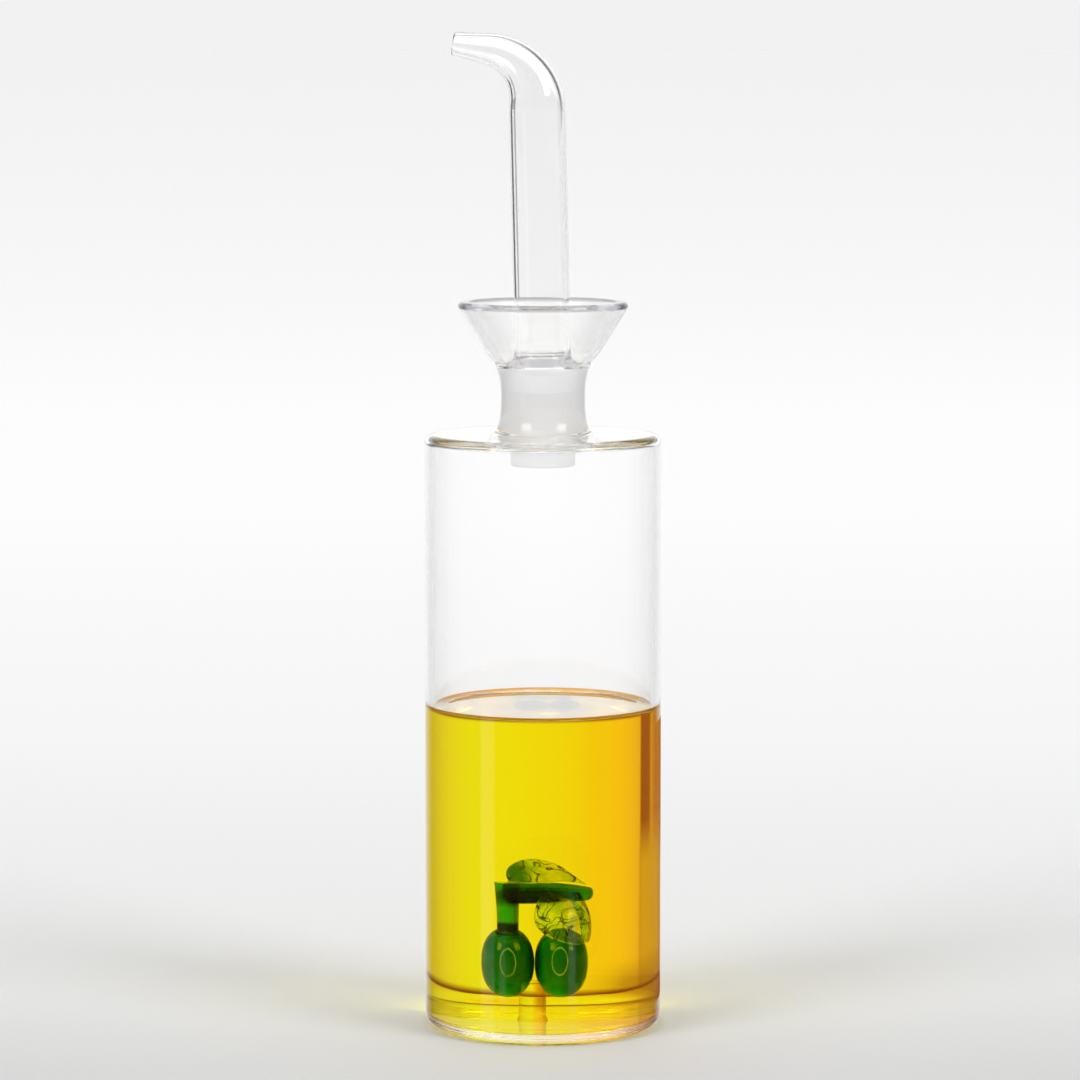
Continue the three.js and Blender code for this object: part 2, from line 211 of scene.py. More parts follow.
def bottle_profile():
    """Outside from the axis up to the rim, then the cup, the ground bore and the inside back to the axis."""
    slope = math.degrees(math.atan2(rim_radius + rim_underside[0] - flare_radius,
                                    rim_height - rim_underside[1] - flare_height))
    inner = body_radius - body_wall
    ceiling = shoulder_height - shoulder_thickness
    neck_foot = (neck_foot_radius, shoulder_height + shoulder_rise)
    waist = (waist_radius, waist_height)
    flare = (flare_radius, flare_height)
    top, foot = socket_radius(socket_top), socket_radius(socket_foot)
    bead = arc((rim_radius, rim_height), rim_bead, -slope, 180 - slope, 24)
    wet = oil_level + meniscus_rise
    return join_runs([
        line((0, 0), (body_radius - foot_corner, 0)),
        arc((body_radius - foot_corner, foot_corner), foot_corner, -90, 0),
        line((body_radius, foot_corner), (body_radius, shoulder_height - shoulder_corner)),
        arc((body_radius - shoulder_corner, shoulder_height - shoulder_corner), shoulder_corner, 0, 90),
        line((body_radius - shoulder_corner, shoulder_height), neck_foot),
        curve(neck_foot, (waist_radius + neck_foot_reach[0], shoulder_height + neck_foot_reach[1]),
              (waist_radius, waist_height - reach_below_waist), waist),
        curve(waist, (waist_radius, waist_height + reach_above_waist),
              (flare_radius - flare_reach[0], flare_height - flare_reach[1]), flare),
        line(flare, bead[0]),
        bead,
        line(bead[-1], (cup_floor_radius, cup_floor_height)),
        curve((cup_floor_radius, cup_floor_height),
              (top + cup_floor_reach[0], socket_top + cup_floor_reach[1]),
              (top, socket_top + socket_top_reach), (top, socket_top), 8),
        line((top, socket_top), (socket_radius(ground_top), ground_top)),
        line((socket_radius(ground_top), ground_top), (socket_radius(ground_foot), ground_foot)),
        line((socket_radius(ground_foot), ground_foot), (foot, socket_foot)),
        curve((foot, socket_foot), (foot, ceiling + socket_foot_reach[1]),
              (foot + socket_foot_reach[0], ceiling), (foot + socket_foot_flare, ceiling), 10),
        line((foot + socket_foot_flare, ceiling), (inner - ceiling_corner, ceiling)),
        arc((inner - ceiling_corner, ceiling - ceiling_corner), ceiling_corner, 90, 0),
        line((inner, ceiling - ceiling_corner), (inner, wet)),
        line((inner, wet), (inner, floor_height + floor_corner)),
        arc((inner - floor_corner, floor_height + floor_corner), floor_corner, 0, -90),
        line((inner - floor_corner, floor_height), (0, floor_height)),
    ])


bottle_glass = clear_glass("borosilicate_glass", 1.47)
wetted_glass = clear_glass("borosilicate_glass_wetted_by_oil", 1.47, specular_tint="#000000")
# The top of the rim bead is tinted grey: painted shade for the dark line round the rim.
rim_glass_painted_shade = clear_glass("borosilicate_glass_at_the_rim_with_painted_shade", 1.47, colour="#C4C2C8")
ground_band = ground_glass("borosilicate_glass_ground", "#FCFCFC")
profile = bottle_profile()
middle = (profile[:-1] + profile[1:]) / 2
inside = np.arange(len(middle)) > np.argmax(profile[:, 1])
in_bore = inside & (middle[:, 0] < widest_bore)
slots = np.where(inside & (middle[:, 1] < oil_level + meniscus_rise), 1, 0)
slots = np.where(in_bore & (middle[:, 1] < ground_top) & (middle[:, 1] > ground_foot), 2, slots)
slots = np.where(middle[:, 1] > rim_height - rim_underside[1], 3, slots)
bottle = skin("bottle_glass", turned(profile, body_sides),
              [bottle_glass, wetted_glass, ground_band, rim_glass_painted_shade], slots)
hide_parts("bottle")
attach(bottle, "root")

# Peg
# A short rod of the same clear glass, fused upright to the bottle's floor at the lamp. It carries the
# sprig, and its foot spreads where it melted onto the floor.
peg_x = -1.8
peg_radius = 2.35
peg_top = 13.0
peg_edge = 1.0
peg_root = 0.02
peg_flare = 0.4
peg_flare_height = 2.0
peg_flare_reach = (0.3, 0.1, 0.7)


def peg_profile():
    """From the axis under the floor out to the spread foot, up the rod and back to the axis on top."""
    foot = floor_height - peg_root
    out, low, high = peg_flare_reach
    return join_runs([
        line((0, foot), (peg_radius + peg_flare, foot)),
        curve((peg_radius + peg_flare, foot), (peg_radius + out, floor_height + low),
              (peg_radius, floor_height + high), (peg_radius, floor_height + peg_flare_height)),
        line((peg_radius, floor_height + peg_flare_height), (peg_radius, peg_top - peg_edge)),
        arc((peg_radius - peg_edge, peg_top - peg_edge), peg_edge, 0, 90),
        line((peg_radius - peg_edge, peg_top), (0, peg_top)),
    ])


peg_glass = clear_glass("borosilicate_glass_in_oil", 1.12)
peg = skin("peg_glass", turned(peg_profile(), 64) + np.array([peg_x, 0, 0]), [peg_glass])
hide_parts("bottle")
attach(peg, "root")

# Olives
# Two drops of deep green glass, shaped at the lamp to the fat barrel of an olive and fused side by side
# on the peg.
olive_radius = 4.64
olive_half_height = 8.95
olive_height = 17.5
olive_fullness = 2.25
olive_places = {"olive_left": -6.12, "olive_right": 3.18}
# Where the two olives meet, their skin is darkened toward the shade colour: painted shade.
olive_painted_shade = ((-1.47, 0, 17.5), (0.7, 0, 0))
bubble_places = [(-6.5, 18.0), (3.1, 18.4)]
bubble_half_width = 1.45
bubble_half_height = 3.5


def green_glass(name, streak_colours, let_through, strength, painted_shades, pale_colour, pale_share,
                flow=1.0, shade_colour="#183010"):
    """Green glass sunk in oil: colour builds up with depth, and drawn streaks 3 mm apart tint its skin.
    Its index is the one against oil, with the bend at the edges as strong as it looks. Round each point in
    the painted shades, counted by its scale per mm, the colour is darkened toward the shade colour: painted
    shade where parts meet and under the bar. Where the pale share is 1 the skin lets less light through and
    takes the pale colour, which is painted light. Thin lines of flow 4 mm apart, where the glass was pulled,
    let only the flow share of the light through."""
    made, tree, output = material(name)
    place = add(tree, "ShaderNodeTexCoord").outputs["Object"]
    streaks = add(tree, "ShaderNodeTexNoise", {"Scale": 1 / (3 * MM), "Detail": 2.0}, {"Vector": place})
    tint = add(tree, "ShaderNodeValToRGB", {}, {"Fac": streaks.outputs["Fac"]})
    for element, position, code in zip(tint.color_ramp.elements, (0.35, 0.65), streak_colours):
        element.position = position
        element.color = linear(code)
    share = pale_share(tree, place)
    clouded = add(tree, "ShaderNodeMix", {"data_type": "RGBA"}, {0: share})
    tree.links.new(tint.outputs["Color"], clouded.inputs[6])
    clouded.inputs[7].default_value = linear(pale_colour)
    colour = clouded.outputs[2]
    for point, scale in painted_shades:
        far = distance(tree, place, point, scale)
        shade_share = add(tree, "ShaderNodeMapRange",
                      {"From Min": 1.3, "From Max": 0.4, "interpolation_type": "SMOOTHSTEP"},
                      {"Value": far})
        shaded_colour = add(tree, "ShaderNodeMix", {"data_type": "RGBA", "blend_type": "MULTIPLY"},
                      {0: shade_share.outputs["Result"]})
        tree.links.new(colour, shaded_colour.inputs[6])
        shaded_colour.inputs[7].default_value = linear(shade_colour)
        colour = shaded_colour.outputs[2]
    swirl = add(tree, "ShaderNodeTexNoise", {"Scale": 1 / (4.2 * MM), "Detail": 0.0, "Distortion": 1.0},
                {"Vector": place})
    off = add(tree, "ShaderNodeMath", {"operation": "SUBTRACT"}, {0: swirl.outputs["Fac"]})
    off.inputs[1].default_value = 0.5
    off = add(tree, "ShaderNodeMath", {"operation": "ABSOLUTE"}, {0: off.outputs[0]})
    pulled = add(tree, "ShaderNodeMapRange", {"From Min": 0.01, "From Max": 0.035, "To Min": flow},
                 {"Value": off.outputs[0]})
    lined = add(tree, "ShaderNodeMix", {"data_type": "RGBA", "blend_type": "MULTIPLY"})
    lined.inputs[0].default_value = 1.0
    tree.links.new(colour, lined.inputs[6])
    tree.links.new(pulled.outputs["Result"], lined.inputs[7])
    through = add(tree, "ShaderNodeMapRange", {"To Min": 1.0, "To Max": 0.3}, {"Value": share})
    glass = add(tree, "ShaderNodeBsdfPrincipled",
                {"Roughness": 0.0, "IOR": 1.2, "Coat Weight": 0.3, "Coat Roughness": 0.02},
                {"Base Color": lined.outputs[2], "Transmission Weight": through.outputs["Result"]})
    depth = add(tree, "ShaderNodeVolumeAbsorption", {"Color": (*let_through, 1.0), "Density": strength})
    tree.links.new(glass.outputs["BSDF"], output.inputs["Surface"])
    tree.links.new(depth.outputs["Volume"], output.inputs["Volume"])
    return made


def distance(tree, place, point, scale):
    """How far a place is from a point in mm, with each axis counted by its scale per mm."""
    spot = add(tree, "ShaderNodeVectorMath", {"operation": "MULTIPLY_ADD"}, {0: place})
    spot.inputs[1].default_value = tuple(np.array(scale) / MM)
    spot.inputs[2].default_value = tuple(-np.array(point) * np.array(scale))
    length = add(tree, "ShaderNodeVectorMath", {"operation": "LENGTH"}, {0: spot.outputs["Vector"]})
    return length.outputs["Value"]


def painted_bubble_outline(tree, place):
    """Pale outline of the flat oval bubble in the front of each olive, drawn on the skin as a painted
    reflection of the bubble's wall: near 1 by its own half sizes.
    """
    nearest = None
    for x, z in bubble_places:
        far = distance(tree, place, (x, 0, z), (1 / bubble_half_width, 0, 1 / bubble_half_height))
        off = add(tree, "ShaderNodeMath", {"operation": "SUBTRACT"}, {0: far})
        off.inputs[1].default_value = 1.0
        off = add(tree, "ShaderNodeMath", {"operation": "ABSOLUTE"}, {0: off.outputs[0]}).outputs[0]
        if nearest:
            off = add(tree, "ShaderNodeMath", {"operation": "MINIMUM"}, {0: nearest, 1: off}).outputs[0]
        nearest = off
    ring = add(tree, "ShaderNodeMapRange",
               {"From Min": 0.04, "From Max": 0.09, "To Min": 0.45, "To Max": 0.0}, {"Value": nearest})
    depth = add(tree, "ShaderNodeSeparateXYZ", {}, {"Vector": place})
    before = add(tree, "ShaderNodeMath", {"operation": "LESS_THAN"}, {0: depth.outputs["Y"]})
    before.inputs[1].default_value = 0.0
    return add(tree, "ShaderNodeMath", {"operation": "MULTIPLY"},
               {0: ring.outputs["Result"], 1: before.outputs[0]}).outputs[0]


def olive_profile():
    """A barrel fuller than an ellipse: radius is (1 - h to the power n) to the power 1/n, h from -1 to 1."""
    height = -np.cos(np.linspace(0, np.pi, 72))
    radius = np.maximum(1 - np.abs(height) ** olive_fullness, 0) ** (1 / olive_fullness)
    return np.stack([radius * olive_radius, height * olive_half_height], axis=1)


# The olives' pale colour is the painted reflection on their bubble outlines.
olive_glass = green_glass("deep_green_glass", ("#C8E8B0", "#F4FFEC"), (0.0, 0.73, 0.0), 750.0,
                          [olive_painted_shade], "#C8D84A", painted_bubble_outline)
for name, x in olive_places.items():
    grid = turned(olive_profile(), 96) + np.array([x, 0, olive_height])
    olive = skin(f"{name}_glass", grid, [olive_glass])
    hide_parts(name)
    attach(olive, "root")

# Twig
# Three rods of green glass melted together: a stem cut flat that climbs from the left olive, a thicker
# bar that lies across it, and a thin stalk drawn down to the right olive in the leaves' yellow green.
twig_top = 38.1
# The twig is darkened round the stem's foot and under the bar, and the leaves where they meet the twig:
# painted shade.
twig_painted_shades = [((-6, 0, 26.6), (0, 0, 0.8)), ((-1.5, 0, 34.4), (0.12, 0, 0.36))]
leaf_painted_shades = [((1.0, -2.4, 35.0), (0.25, 0.3, 0.28)), ((-4.6, 2.4, 39.4), (0.36, 0, 0.2))]


def along(points, radius, sides=48):
    """A round section carried along a path in the XZ plane: centre + r (cos a, sin a), its two axes the
    path's in-plane normal and Y. Nothing stands above the flat cut at the top of the twig."""
    step = np.gradient(points, axis=0)
    tangent = step / np.linalg.norm(step, axis=1, keepdims=True)
    angle = np.arange(sides) * 2 * np.pi / sides
    sideways = radius[:, None] * np.cos(angle)
    depth = radius[:, None] * np.sin(angle)
    x = points[:, :1] + tangent[:, 1:] * sideways
    z = points[:, 1:] - tangent[:, :1] * sideways
    return np.stack([x, depth, np.minimum(z, twig_top)], axis=-1)


def rounded(radius, cap):
    """A run of radii that closes to nothing at both ends, as a quarter circle over that share of it."""
    t = np.linspace(0, 1, len(radius))
    end = np.clip(np.minimum(t, 1 - t) / cap, 0, 1)
    return radius * np.sqrt(np.clip(1 - (1 - end) ** 2, 0, 1))


def rod(path, first_radius, middle_radius, last_radius, cap):
    """A rod along a cubic Bezier path of X and Z, its radius a quadratic through first, middle and last."""
    points = curve(*path, count=110)
    t = np.linspace(0, 1, len(points))
    radius = first_radius * (1 - t) ** 2 + 2 * middle_radius * t * (1 - t) + last_radius * t ** 2
    return along(points, rounded(radius, cap))


def cut_face_and_painted_light(tree, place):
    """Cloudy share of the flat cut on top, also painted paler as if lit from above: 1 where the skin
    faces straight up.
    """
    shape = add(tree, "ShaderNodeNewGeometry")
    normal = add(tree, "ShaderNodeSeparateXYZ", {}, {"Vector": shape.outputs["True Normal"]})
    return add(tree, "ShaderNodeMapRange", {"From Min": 0.95, "From Max": 0.99},
               {"Value": normal.outputs["Z"]}).outputs["Result"]


def leaf_rim_painted_highlight(tree, place):
    """Pale share of a leaf: its blunt rim, kept with the mesh, painted pale as a highlight along the edge.
    """
    return add(tree, "ShaderNodeAttribute", {"attribute_name": "rim"}).outputs["Fac"]


# The twig's pale colour goes on its flat cut: a cloudy cut face, with painted light from above.
twig_glass = green_glass("mid_green_glass", ("#A8D890", "#F0FFE4"), (0.0, 0.77, 0.0), 800.0,
                         twig_painted_shades, "#E8EC6A", cut_face_and_painted_light)
# The leaf glass's pale colour is painted highlight along the leaves' rims.
leaf_glass = green_glass("yellow_green_glass", ("#C0D860", "#F4F8B0"), (0.5, 0.86, 0.1), 480.0,
                         leaf_painted_shades, "#F0EE70", leaf_rim_painted_highlight, flow=0.06, shade_colour="#5A8E34")
twig_rods = {
    "stem": rod(((-6.1, 24.3), (-6.05, 29.0), (-6.15, 34.0), (-6.2, 38.4)), 1.9, 1.85, 2.3, 0.01),
    "bar": rod(((-6.9, 35.3), (-2.0, 35.7), (3.5, 35.6), (8.8, 35.0)), 2.7, 3.4, 1.5, 0.06),
    "stalk": rod(((7.0, 22.6), (7.9, 26.0), (7.2, 31.0), (5.0, 35.4)), 0.9, 1.2, 1.3, 0.05),
}
for name, grid in twig_rods.items():
    twig = skin(f"twig_{name}_glass", grid, [leaf_glass if name == "stalk" else twig_glass])
    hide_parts("twig")
    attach(twig, "root")

# Leaves
# Two drops of yellow-green glass pressed flat with tongs. The upper one stands behind the twig, the lower
# one hangs from it in front of the right olive.
leaf_thickness = 1.2
leaf_rows, leaf_sides = 110, 72
leaf_blunt_end = 0.01
fold_power = 1.6
vein_depth = 0.1
vein_count = 7
leaf_angle = np.arange(leaf_sides) * 2 * np.pi / leaf_sides


def leaf(base, crown, tip, face, width, fold, fullness, sharpness):
    """A flat section with a blunt rim carried from base to tip along a quadratic Bezier midrib: across it
    is w cos a, out of its plane t times the root of sin a, less a fold that grows away from the midrib."""
    t = np.linspace(0, 1, leaf_rows)[:, None]
    base, crown, tip, face = (np.array(p, float) for p in (base, crown, tip, face))
    midrib = (1 - t) ** 2 * base + 2 * t * (1 - t) * crown + t ** 2 * tip
    tangent = 2 * (1 - t) * (crown - base) + 2 * t * (tip - crown)
    tangent /= np.linalg.norm(tangent, axis=1, keepdims=True)
    side = np.cross(face, tangent)
    side /= np.linalg.norm(side, axis=1, keepdims=True)
    up = np.cross(tangent, side)
    reach = leaf_blunt_end + (1 - 2 * leaf_blunt_end) * t ** fullness
    outline = np.sin(np.pi * np.clip(reach, 0, 1)) ** sharpness
    spread, lift = np.cos(leaf_angle), np.sin(leaf_angle)
    across = spread * width * outline
    blunt = np.sign(lift) * np.abs(lift) ** 0.5
    veins = vein_depth * np.sin(vein_count * np.pi * (t + 0.5 * np.abs(spread)))
    folded = fold * np.abs(spread) ** fold_power * outline
    rise = (blunt * leaf_thickness / 2 + veins) * np.sqrt(outline) - folded
    return midrib[:, None] + side[:, None] * across[..., None] + up[:, None] * rise[..., None]


leaf_shapes = {
    "leaf_upper": leaf((-4.8, 2.4, 36.8), (-2.4, 3.2, 44.0), (7.2, 2.4, 37.2), (0, -1, 0.35),
                       3.8, 0.9, 0.7, 1.25),
    "leaf_lower": leaf((0.7, -2.4, 36.2), (2.2, -7.0, 31.2), (7.3, -5.4, 23.0), (0.1, -1, 0.15),
                       5.0, 1.3, 1.2, 0.75),
}
# Rim share of each leaf, where the painted highlight goes.
edge = 0.06 + 0.94 * np.abs(np.cos(leaf_angle)) ** 10 + np.zeros((leaf_rows, 1))
for name, grid in leaf_shapes.items():
    blade = skin(f"{name}_glass", grid, [leaf_glass], rim=edge)
    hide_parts(name)
    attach(blade, "root")

# Oil
# Golden olive oil to a little over half of the body. It wets the glass, so its side lies against the
# wall with nothing between, and its level is drawn up a little round the edge.
into_wall = 0.05
meniscus_width = 3.0
meniscus_reach = (0.3, 0.3, 1.2)


def oil_profile():
    """Along the floor, up the wall just inside the glass and back over the hollow edge of the level."""
    radius = body_radius - body_wall + into_wall
    height = floor_height - into_wall
    level_start = (radius - meniscus_width, oil_level)
    near, up, far = meniscus_reach
    return join_runs([
        line((0, height), (radius - floor_corner, height)),
        arc((radius - floor_corner, height + floor_corner), floor_corner, -90, 0),
        line((radius, height + floor_corner), (radius, oil_level + meniscus_rise)),
        curve((radius, oil_level + meniscus_rise), (radius - near, oil_level + up),
              (radius - far, oil_level), level_start),
        line(level_start, (0, oil_level)),
    ])


def olive_oil(name):
    """Olive oil: clear, takes up nearly all blue and a little green over the width of the bottle. Only its
    open top gives back light, since the side meets glass that bends light as much as oil does. The edge
    drawn up the wall, uneven over 6 mm, is painted as a line of deeper gold that lets less light through:
    painted shade."""
    made, tree, output = material(name)
    shape = add(tree, "ShaderNodeNewGeometry")
    normal = add(tree, "ShaderNodeSeparateXYZ", {}, {"Vector": shape.outputs["Normal"]})
    top = add(tree, "ShaderNodeMapRange", {"From Min": 0.2, "From Max": 0.6},
              {"Value": normal.outputs["Z"]})
    place = add(tree, "ShaderNodeTexCoord").outputs["Object"]
    level = add(tree, "ShaderNodeSeparateXYZ", {}, {"Vector": place})
    waves = add(tree, "ShaderNodeTexNoise", {"Scale": 1 / (6 * MM), "Detail": 1.0}, {"Vector": place})
    uneven = add(tree, "ShaderNodeMath", {"operation": "MULTIPLY_ADD"}, {0: waves.outputs["Fac"]})
    uneven.inputs[1].default_value = 0.8 * MM
    tree.links.new(level.outputs["Z"], uneven.inputs[2])
    drawn_up_painted_shade = add(tree, "ShaderNodeMapRange",
                   {"From Min": (oil_level + 0.5) * MM, "From Max": (oil_level + 0.8) * MM},
                   {"Value": uneven.outputs[0]})
    # The drawn-up edge is painted deeper gold and lets less light through: painted shade.
    tint = add(tree, "ShaderNodeMix", {"data_type": "RGBA"}, {0: drawn_up_painted_shade.outputs["Result"]})
    tint.inputs[6].default_value = linear("#FFFFFF")
    tint.inputs[7].default_value = linear("#F0B428")
    through = add(tree, "ShaderNodeMapRange", {"To Min": 1.0, "To Max": 0.4},
                  {"Value": drawn_up_painted_shade.outputs["Result"]})
    sheen = add(tree, "ShaderNodeMix", {"data_type": "RGBA"}, {0: top.outputs["Result"]})
    sheen.inputs[6].default_value = linear("#000000")
    sheen.inputs[7].default_value = linear("#FFECDC")
    second = add(tree, "ShaderNodeMath", {"operation": "MULTIPLY"}, {0: top.outputs["Result"]})
    second.inputs[1].default_value = 0.5
    surface = add(tree, "ShaderNodeBsdfPrincipled",
                  {"Roughness": 0.0, "IOR": 1.47, "Coat Roughness": 0.0},
                  {"Base Color": tint.outputs[2], "Transmission Weight": through.outputs["Result"],
                   "Specular Tint": sheen.outputs[2], "Coat Weight": second.outputs[0]})
    body = add(tree, "ShaderNodeVolumeAbsorption",
               {"Color": (0.995, 0.97, 0.0, 1.0), "Density": 100.0})
    tree.links.new(surface.outputs["BSDF"], output.inputs["Surface"])
    tree.links.new(body.outputs["Volume"], output.inputs["Volume"])
    return made


oil = skin("olive_oil", turned(oil_profile(), body_sides), [olive_oil("olive_oil")])
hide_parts("oil")
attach(oil, "root")

# Pourer
# A glass tube drawn thin and bent at the lamp, with a cone blown on its foot and ground with grit to
# seat in the neck. It is only set in, and lifts out.
cone_length = 24.4
cone_bore = 6.1
cone_edge = 0.3
cone_top_reach = (0.15, 3.0)
tube_radius = 7.15
tube_wall = 1.2
tube_foot_run = 5.6
tube_foot_reach = 2.2
bore_foot_run = 3.0
lean = 1.3
bend_start = 234.4
bend_radius = 14.5
bend_end = 82.0
spout_length = 8.8
taper_lead = 2.0
taper_first_reach, taper_last_reach = 6.0, 16.4
taper_outer, taper_bore = 4.2, 2.95
tip_radius = 3.0
tip_wall = 1.15
pourer_sides = 128


def pourer_axis():
    """Up the cone, leaning up the tube, round the bend and out along the spout, in X and Z."""
    cone_top = cone_foot + cone_length
    bend_x = -math.tan(math.radians(lean)) * (bend_start - cone_top)
    centre = (bend_x - bend_radius * math.cos(math.radians(lean)),
              bend_start - bend_radius * math.sin(math.radians(lean)))
    turn = arc(centre, bend_radius, lean, bend_end, 60)
    out = np.array([-math.sin(math.radians(bend_end)), math.cos(math.radians(bend_end))])
    return join_runs([
        np.array([(0, cone_foot), (0, cone_top)]),
        np.array([(0, cone_top), (bend_x, bend_start)]),
        turn,
        np.array([turn[-1], turn[-1] + out * spout_length]),
    ])


def pourer_profile(length):
    """Radius against distance: up the cone and the tube, over the fire-polished tip and down the bore."""
    cone_top = cone_radius + cone_length * cone_taper
    tube_foot = cone_length + tube_foot_run
    taper = bend_start - cone_foot - taper_lead
    bore = tube_radius - tube_wall
    lip = tip_wall / 2
    return join_runs([
        line((cone_bore + cone_edge, 0), (cone_radius - cone_edge, 0)),
        arc((cone_radius - cone_edge, cone_edge), cone_edge, -90, 0, 6),
        line((cone_radius, cone_edge), (cone_top, cone_length)),
        curve((cone_top, cone_length), (cone_top + cone_top_reach[0], cone_length + cone_top_reach[1]),
              (tube_radius, cone_length + tube_foot_reach), (tube_radius, tube_foot)),
        line((tube_radius, tube_foot), (tube_radius, taper)),
        curve((tube_radius, taper), (tube_radius, taper + taper_first_reach),
              (taper_outer, taper + taper_last_reach), (tip_radius, length - lip), 60),
        arc((tip_radius - lip, length - lip), lip, 0, 180, 16),
        curve((tip_radius - tip_wall, length - lip), (taper_bore, taper + taper_last_reach),
              (bore, taper + taper_first_reach), (bore, taper), 60),
        line((bore, taper), (bore, cone_length + bore_foot_run)),
        line((bore, cone_length + bore_foot_run), (cone_bore, cone_edge)),
        arc((cone_bore + cone_edge, cone_edge), cone_edge, 180, 270, 6),
    ])[:-1]


def carried(profile, path, around):
    """A profile of radius and distance carried along a path in the XZ plane: the point at distance s on
    the path, plus r cos a across it in the plane and r sin a along Y."""
    step = np.linalg.norm(np.diff(path, axis=0), axis=1)
    length = np.concatenate([[0], np.cumsum(step)])
    reach = profile[:, 1]
    small = 0.4

    def at(distance_along):
        """Points of the path at these distances, each on the straight between its two nearest points."""
        return np.stack([np.interp(distance_along, length, path[:, i]) for i in (0, 1)], axis=1)

    centre = at(reach)
    ahead = at(np.minimum(reach + small, length[-1]))
    behind = at(np.maximum(reach - small, 0))
    tangent = (ahead - behind) / np.linalg.norm(ahead - behind, axis=1, keepdims=True)
    angle = np.arange(around) * 2 * np.pi / around
    sideways = profile[:, :1] * np.cos(angle)
    x = centre[:, :1] + tangent[:, 1:] * sideways
    z = centre[:, 1:] - tangent[:, :1] * sideways
    return np.stack([x, profile[:, :1] * np.sin(angle), z], axis=-1)


axis = pourer_axis()
axis_length = np.linalg.norm(np.diff(axis, axis=0), axis=1).sum()
profile = pourer_profile(axis_length)
middle = (profile + np.roll(profile, -1, 0)) / 2
outside = np.arange(len(profile)) < np.argmax(profile[:, 1])
slots = np.where(outside & (middle[:, 1] < cone_length), 1, 0)
ground_cone = ground_glass("borosilicate_glass_ground_finer", "#F6F6F8")
pourer = skin("pourer_glass", carried(profile, axis, pourer_sides), [bottle_glass, ground_cone], slots,
              closed=True)
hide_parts("pourer")
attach(pourer, "root")

# Studio
# A pale floor of matt white paint in a soft white surround, bright behind and overhead and dark in front.
# The floor is painted darker toward the front and again far off: painted shade. Two softboxes high in
# front light it, and low strips draw lines of light down the bottle. Cards close round the bottle stand
# for things about it that warm the oil from behind, brown its edge and brighten the empty glass, and a
# dim one puts painted shade in the left wall line of the empty glass.
floor_radius = 300.0
floor_drop = 0.05
near_floor = (-0.06, 1.3)
floor_painted_shades = [(0.0, 0.6), (0.07, 0.68), (0.16, 0.74), (0.4, 0.82), (1.0, 0.88)]
just_behind, far_from = 0.01, 2.0
front_shades = [(0.0, 0.01), (0.495, 0.01), (0.5, 0.5), (0.54, 0.3), (0.6, 0.15), (0.8, 0.15), (0.92, 1.2)]
back_shades = [(0.0, 0.885), (0.51, 0.885), (0.53, 1.2), (0.92, 1.2)]
back_from, back_full = 0.72, 0.97
surround_strength = 1.0
strips = [(56.0, 0.11, 0.0, 0.495, 0.8), (40.0, 0.035, 0.395, 0.402, 0.6),
          (-28.5, 0.045, 0.396, 0.405, 0.8)]
strip_edge = 0.003
softbox_angles, softbox_half_width = (46, -52), 0.18
softbox_shades = [(0.64, 0.0), (0.66, 1.0), (0.84, 1.0), (0.86, 0.0)]
softbox_strength = 7.0
softbox_edge, softbox_facing = 0.04, 0.4


def floor_grid():
    """A flat disc: rings of points whose radius grows with the cube of their number, from the axis out."""
    ring = np.linspace(0, 1, 30)[:, None] ** 3 * floor_radius / MM
    return turned(np.hstack([ring, 0 * ring - floor_drop]), 96)


def grey_ramp(tree, source, stops):
    """A ramp of greys on a number from 0 to 1: stops are pairs of place and linear grey."""
    made = add(tree, "ShaderNodeValToRGB", {}, {"Fac": source})
    elements = made.color_ramp.elements
    while len(elements) < len(stops):
        elements.new(0.5)
    for element, (place, grey) in zip(elements, stops):
        element.position = place
        element.color = (grey, grey, grey, 1.0)
    return made


# The floor's grey falls from 0.88 behind the bottle to 0.6 in front of it: painted shade.
floor_paint, tree, output = material("matt_white_paint")
place = add(tree, "ShaderNodeTexCoord")
depth = add(tree, "ShaderNodeSeparateXYZ", {}, {"Vector": place.outputs["Object"]}).outputs["Y"]
near = add(tree, "ShaderNodeMapRange", {"From Min": near_floor[0], "From Max": near_floor[1]},
           {"Value": depth})
painted_fall_off = grey_ramp(tree, near.outputs["Result"], floor_painted_shades)
behind_bottle = add(tree, "ShaderNodeMath", {"operation": "MAXIMUM"}, {0: depth})
behind_bottle.inputs[1].default_value = just_behind
nearness = add(tree, "ShaderNodeMath", {"operation": "DIVIDE"}, {1: behind_bottle.outputs[0]})
nearness.inputs[0].default_value = far_from
far = add(tree, "ShaderNodeMapRange", {"From Min": 1.0, "From Max": 0.0}, {"Value": nearness.outputs[0]})
# Far off the floor is darkened toward a light grey: painted shade.
shade = add(tree, "ShaderNodeMix", {"data_type": "RGBA", "blend_type": "MULTIPLY"},
            {0: far.outputs["Result"]})
tree.links.new(painted_fall_off.outputs["Color"], shade.inputs[6])
shade.inputs[7].default_value = linear("#F3F3F3")
paint = add(tree, "ShaderNodeBsdfPrincipled", {"Roughness": 0.9}, {"Base Color": shade.outputs[2]})
tree.links.new(paint.outputs["BSDF"], output.inputs["Surface"])
ground = skin("floor", floor_grid()[::-1], [floor_paint])
ground.visible_glossy = False

